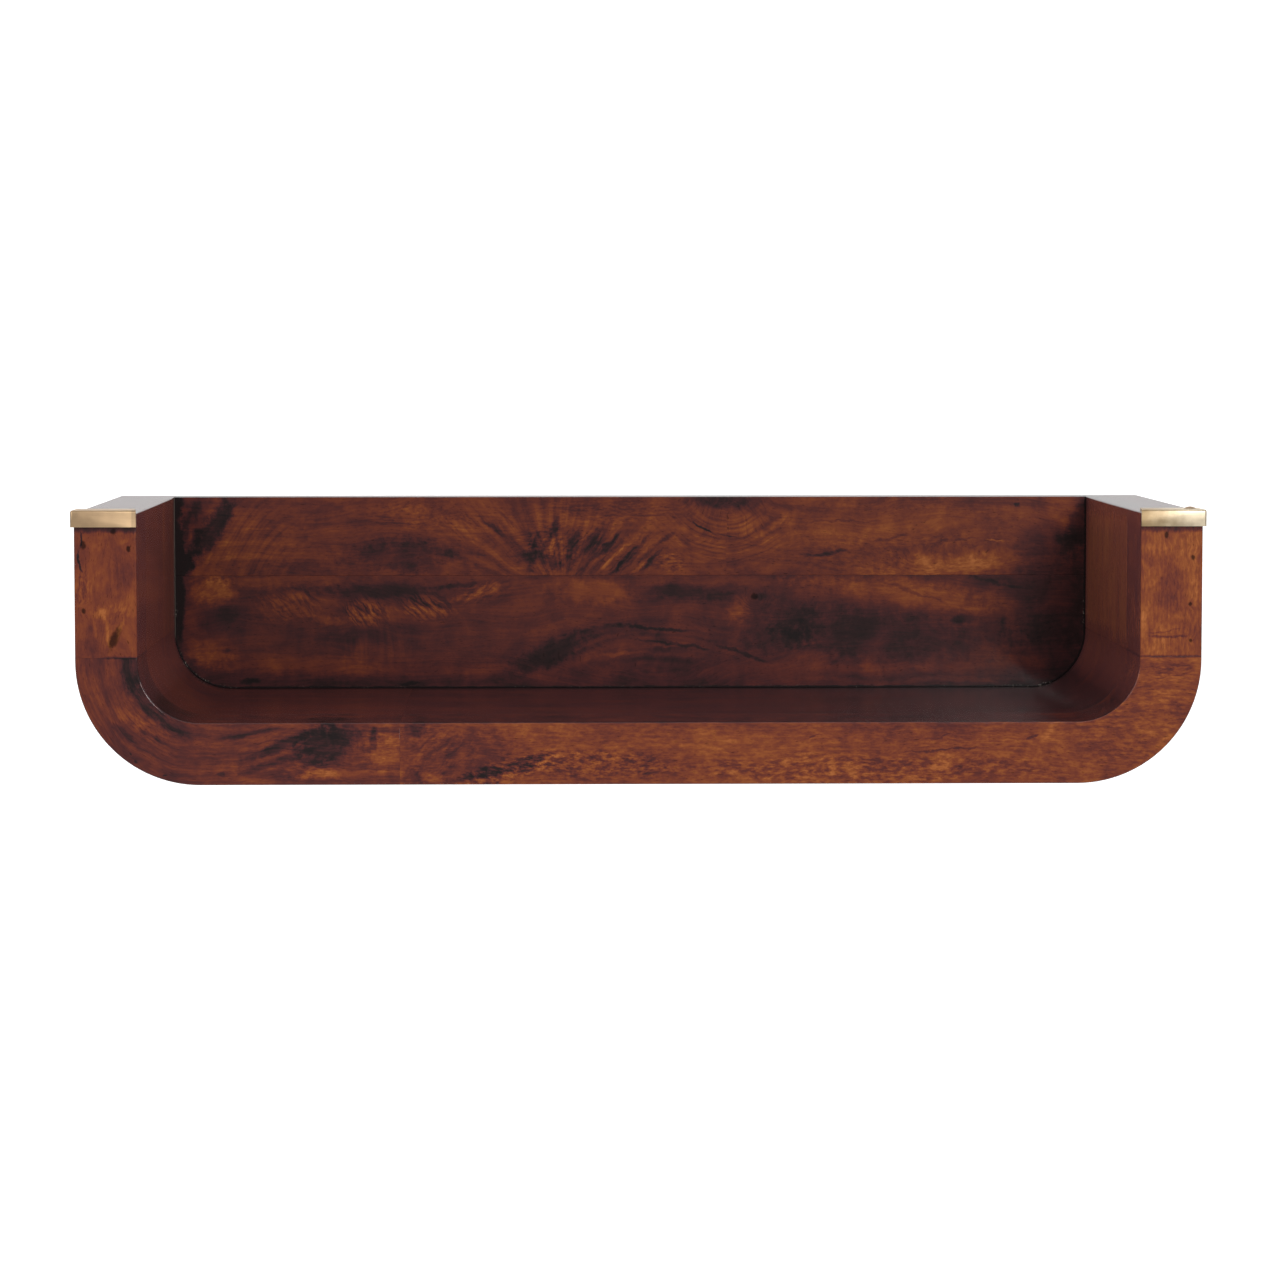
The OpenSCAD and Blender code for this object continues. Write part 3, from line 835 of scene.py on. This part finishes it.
lower_plank_wood = wood(
    "lower_plank_wood", grain_level, seed=10, tone=0.40, bands=0.09, lines=0.03, fibre=0.05, mottle=0.12,
    band_size=(130, 12, 20), waves=14, details=[panel_seam], glued=True,
    bends=[(74, 84, 12, 10, 0, 8), (20, 40, 100, 34, 0, 16)],
    rings=[(16, -94, 5, 57, 84, 22, 5.0, 2, 0.08), (-230, 56, -150, 58, 34, 18, 4.0, 2, 0.06)],
    marks=[
        # The left end: a black edge, a bright patch with a dark one below it, and bright drips
        (-265, 82, 4.5, 34, 0, -0.50), (-244, 90, 20, 12, 0, 0.36), (-200, 96, 60, 6, 0, 0.20),
        (-242, 72, 20, 10, 36, -0.14), (-248, 52, 18, 9, -20, 0.24), (-237, 53, 4, 2, 0, -0.20),
        (-196, 80, 34, 13, 0, 0.14), (-150, 90, 50, 6, 4, -0.20), (-150, 64, 60, 8, 0, -0.08),
        (-140, 76, 46, 9, 4, 0.12), (-190, 46, 60, 9, 0, 0.12), (-160, 56, 4, 14, -20, 0.08),
        (-187.5, 86, 9, 2.2, -33, -0.24), (-177, 73, 16, 3, -8, 0.16),
        (-157, 77, 12, 9, 0, 0.04), (-176, 92, 7, 2.6, 20, -0.12), (-100, 94, 26, 2.2, 2, -0.20),
        (-88, 89, 19, 4, 12, 0.20), (-119, 81, 12, 8, 0, 0.06), (-150, 43, 90, 4, 0, 0.05),
        (-223, 36.5, 8, 2, 0, -0.3), (-130, 35, 9, 1.6, 0, -0.3),
        # The middle: a bright smooth field, the knot, and dark arches over a reddish ground
        (-21, 90, 36, 10, -4, 0.24), (30, 90, 34, 6, -5, -0.20),
        (60, 96, 60, 4, 0, 0.10), (62, 79, 8, 13, -30, 0.20),
        (77, 87, 5, 4, 0, -0.16), (95, 76, 22, 18, -20, -0.14), (-50, 52, 36, 10, 24, -0.26),
        (-10, 66, 40, 5, 4, -0.16),
        (14, 67.5, 32, 1.7, -3, -0.28), (25, 58, 30, 1.3, -6, -0.24), (66, 53, 24, 1.7, -16, -0.22),
        (-8, 52.5, 17, 1.6, 2, 0.18), (20, 57.5, 14, 1.6, 0, 0.18), (16, 47, 46, 7, 0, -0.10),
        (-40, 70, 40, 5, 18, 0.05),
        # The right: level bright grain, two dark fields and the reddish patch between them; the right-hand
        # dark field is partly wood figure and partly painted shadow of the right arm
        (165, 89, 84, 12, -6, 0.28), (164, 91, 28, 1.5, -17, -0.16), (214, 95, 18, 1.5, -14, -0.16),
        (150, 63, 90, 24, -4, -0.20), (203, 79, 14, 4, 0, 0.12),
        (86, 62, 30, 10, 0, -0.12), (196, 73, 12, 4.5, 0, -0.16),
        # After the reddish patch, the next two marks are painted shadow that the right arm casts on the
        # plank's right end
        (206, 59, 15, 10, 0, 0.10), (246, 80, 36, 34, -30, -0.15), (244, 56, 34, 26, 0, -0.10),
        (150, 44, 62, 5, 0, 0.12),
        (170, 37, 110, 2.5, 0, 0.10),
    ],
    strokes=[(-200, 82, 26, 14, 0, 1.9, 42, 0.13), (-155, 78, 20, 12, 0, 2.1, 38, 0.26),
             (-120, 82, 22, 11, 0, 2.3, 48, 0.26), (-86, 90, 24, 8, 12, 2.0, -60, 0.13)],
    fleck_patches=[(-246, 92, 16, 10, 0, 0.07), (-180, 92, 40, 6, 0, 0.06), (-90, 90, 20, 6, 10, 0.08),
                   (-250, 50, 14, 8, -20, 0.08), (64, 78, 8, 10, 0, 0.08), (160, 92, 70, 8, -5, 0.05)],
    knots=[(72.5, 86.5, 2.6, 0.9, 0)],
)


def build_boards():
    """The U: two arms, the left corner, and the floor with the right corner, each of three layers."""
    layered_boards("left_arm", arm_outline(-1), left_arm_woods)
    layered_boards("right_arm", arm_outline(1), right_arm_woods)
    layered_boards("left_corner", corner_outline(-1, FLOOR_JOINT_X), corner_woods)
    layered_boards("floor_board", corner_outline(1, FLOOR_JOINT_X), floor_woods)


def build_upper_plank():
    """The upper plank keeps the CAD shape, for its hanger recesses, with eased edges."""
    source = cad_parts["upper_back_plank"]
    mesh = bmesh.new()
    mesh.from_mesh(source.data)
    bmesh.ops.remove_doubles(mesh, verts=mesh.verts, dist=1e-6)
    bmesh.ops.dissolve_limit(mesh, angle_limit=math.radians(1), verts=mesh.verts, edges=mesh.edges)
    piece = finish_mesh("upper_back_board", mesh)
    add_bevel(piece, PANEL_GROOVE, 2, by_angle=40)
    add_flat_faces(piece)
    place(piece, ["upper_back_plank"], upper_plank_wood)


def build_lower_plank():
    """The lower plank, whose lower corners follow the inside of the U."""
    outline = [
        ([(-INNER_HALF_W, PLANK_JOINT_Z)], GROOVE),
        (arc((-CORNER_X, CORNER_Z), INNER_R, 180, 270), GROOVE),
        (arc((CORNER_X, CORNER_Z), INNER_R, 270, 360), GROOVE),
        ([(INNER_HALF_W, PLANK_JOINT_Z)], JOINT),
    ]
    piece = prism("lower_back_board", outline, PANEL_Y, 0.0, SKIN, SKIN)
    add_bevel(piece, EASED)
    add_flat_faces(piece)
    place(piece, ["lower_back_plank"], lower_plank_wood)


# ---- Brass caps ----

CAP_SHEET = 1.5 * MM
CAP_FOLD_R = 1.2 * MM
CAP_EDGE = 0.25 * MM       # rounding of the sheet's cut edges
CAP_TAPER = 2.5 * MM       # the top leg narrows this much from the lip to its rear
PIN_LIFT = 0.06 * MM       # the flush pin's head shows this much above the sheet


def build_cap(side, name, material):
    """A folded cap: lip, top leg and outer flange of one sheet, open to the shelf's inside."""
    lo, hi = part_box(name)
    hi.z -= PIN_LIFT
    inner_x = hi.x if side < 0 else lo.x
    outer_x = lo.x if side < 0 else hi.x
    mesh = bmesh.new()
    weights = mesh.edges.layers.float.new("bevel_weight_edge")
    corner = mesh.verts.new((outer_x, lo.y, hi.z))
    inner_top = mesh.verts.new((inner_x, lo.y, hi.z))
    inner_low = mesh.verts.new((inner_x, lo.y, lo.z))
    outer_low = mesh.verts.new((outer_x, lo.y, lo.z))
    back_inner = mesh.verts.new((inner_x + side * CAP_TAPER, hi.y, hi.z))
    back_outer = mesh.verts.new((outer_x, hi.y, hi.z))
    back_low = mesh.verts.new((outer_x, hi.y, lo.z))
    mesh.faces.new((corner, inner_top, inner_low, outer_low))
    mesh.faces.new((corner, back_outer, back_inner, inner_top))
    mesh.faces.new((corner, outer_low, back_low, back_outer))
    for end in (inner_top, outer_low, back_outer):
        mesh.edges.get((corner, end))[weights] = 1.0
    bmesh.ops.recalc_face_normals(mesh, faces=mesh.faces)
    centre = (Vector((inner_x, hi.y, lo.z)) + Vector((outer_x, hi.y, lo.z))) / 2
    if any(face.normal.dot(face.calc_center_median() - centre) < 0 for face in mesh.faces):
        bmesh.ops.reverse_faces(mesh, faces=mesh.faces)
    piece = finish_mesh(name + "_sheet", mesh)
    add_bevel(piece, CAP_FOLD_R, 5)
    thick = piece.modifiers.new("sheet", "SOLIDIFY")
    thick.thickness = CAP_SHEET
    thick.offset = -1
    thick.use_even_offset = True
    add_bevel(piece, CAP_EDGE, 2, by_angle=50)
    place(piece, [name], material)


# ---- Hardware that keeps its CAD shape ----

PLATE_EDGE = 0.2 * MM      # rounding of the pressed hanger plates' edges


def dress(node_name, material, bevel=None):
    """Gives a CAD node its material and, where it asks for one, a small bevel."""
    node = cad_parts[node_name]
    node.data.materials.clear()
    node.data.materials.append(material)
    if bevel:
        add_bevel(node, bevel, 2, by_angle=40)


# ---- Studio ----

CAMERA_PLACE = (-51 * MM, -2448 * MM, 118 * MM)
CAMERA_DIP = 4.106         # degrees down from level
CAMERA_TURN = 1.328        # degrees to the right of straight ahead
LENS_MM = 116.5
SENSOR_MM = 36


def build_camera():
    """A long lens in front of the shelf, a little above it and to its left."""
    data = bpy.data.cameras.new("camera")
    data.lens = LENS_MM
    data.sensor_width = SENSOR_MM
    data.clip_end = 100
    camera = bpy.data.objects.new("camera", data)
    camera.location = CAMERA_PLACE
    camera.rotation_euler = (math.radians(90 - CAMERA_DIP), 0, math.radians(-CAMERA_TURN))
    bpy.context.scene.collection.objects.link(camera)
    bpy.context.scene.camera = camera


def paper(name, glow):
    """Matt white studio paper, lit from within by glow."""
    shader = Shader(name)
    shader.surface.inputs["Base Color"].default_value = (0.85, 0.85, 0.85, 1)
    shader.surface.inputs["Roughness"].default_value = 0.9
    shader.surface.inputs["Emission Color"].default_value = (1, 1, 1, 1)
    shader.surface.inputs["Emission Strength"].default_value = glow
    return shader.material


def sweep_profile():
    """The backdrop's (y, z) outline: a level floor, a quarter circle and an upright back, in metres."""
    floor_z = -0.9
    near_y = -8.0
    join_y = 1.4
    back_y = 4.0
    back_top_z = 5.0
    bend_r = 1.2
    bend_steps = 24
    profile = [(near_y, floor_z), (join_y, floor_z), (back_y - bend_r, floor_z)]
    for i in range(1, bend_steps + 1):
        angle = math.radians(90 * i / bend_steps)
        y = back_y - bend_r + bend_r * math.sin(angle)
        z = floor_z + bend_r * (1 - math.cos(angle))
        profile.append((y, z))
    profile.append((back_y, back_top_z))
    return profile


def build_backdrop():
    """A pale floor below the hanging shelf, and a white lit sweep that rises from it far behind."""
    half_w = 8.0
    mesh = bmesh.new()
    rows = [
        [mesh.verts.new((x, y, z)) for y, z in sweep_profile()]
        for x in (-half_w, half_w)
    ]
    for i in range(len(rows[0]) - 1):
        face = mesh.faces.new((rows[0][i], rows[1][i], rows[1][i + 1], rows[0][i + 1]))
        face.material_index = 0 if i == 0 else 1
    backdrop = finish_mesh("backdrop", mesh)
    backdrop.data.materials.append(paper("floor_paper", 0.0))
    backdrop.data.materials.append(paper("sweep_paper", 0.8))


def softbox(name, place_at, aim_at, size, power):
    """A rectangular area light of the given width and height in metres and power in watts."""
    data = bpy.data.lights.new(name, "AREA")
    data.shape = "RECTANGLE"
    data.size, data.size_y = size
    data.energy = power
    light = bpy.data.objects.new(name, data)
    light.location = place_at
    direction = Vector(aim_at) - Vector(place_at)
    light.rotation_euler = direction.to_track_quat("-Z", "Y").to_euler()
    bpy.context.scene.collection.objects.link(light)


def build_lights():
    """Three softboxes aimed at the shelf's middle, in a dim white world."""
    shelf_middle = (0, -0.12, -0.03)
    softbox("key", (0.66, -2.05, 0.56), shelf_middle, (0.6, 0.6), 25)
    softbox("fill", (-1.5, -1.7, 0.7), shelf_middle, (1.2, 1.2), 17)
    softbox("top", (0, -0.3, 2.2), shelf_middle, (1.6, 1.2), 12)
    world = bpy.data.worlds.new("studio")
    world.use_nodes = True
    background = world.node_tree.nodes["Background"]
    background.inputs["Color"].default_value = (1, 1, 1, 1)
    background.inputs["Strength"].default_value = 0.2
    bpy.context.scene.world = world
    bpy.context.scene.view_settings.view_transform = "Standard"


# ---- Putting it together ----

build_camera()
build_backdrop()
build_lights()
build_boards()
build_upper_plank()
build_lower_plank()

left_cap_brass = brass("left_cap_brass", (0.56, 0.39, 0.23), (0.54, 0.37, 0.22), 0.46, end_painted_shade=0.24)
# The right cap's colour runs from darker brass at its inner end to bright at its outer end: a painted
# highlight.
right_cap_brass_painted_highlight = brass("right_cap_brass_painted_highlight", (0.44, 0.31, 0.17), (0.86, 0.73, 0.53), 0.46)
build_cap(-1, "left_brass_cap", left_cap_brass)
build_cap(1, "right_brass_cap", right_cap_brass_painted_highlight)

pin_brass = brass("pin_brass", (0.50, 0.36, 0.24), (0.56, 0.40, 0.26), 0.35)
dowel_wood = bare_hardwood("dowel_hardwood")
hanger_steel = plated_steel("hanger_zinc")
for pin in ("left_cap_pin", "right_cap_pin"):
    dress(pin, pin_brass)
for dowels in ("left_arm_dowels", "right_arm_dowels", "floor_dowels"):
    dress(dowels, dowel_wood)
for plate in ("left_keyhole_plate", "right_keyhole_plate"):
    dress(plate, hanger_steel, PLATE_EDGE)
dress("hanger_screws", hanger_steel)
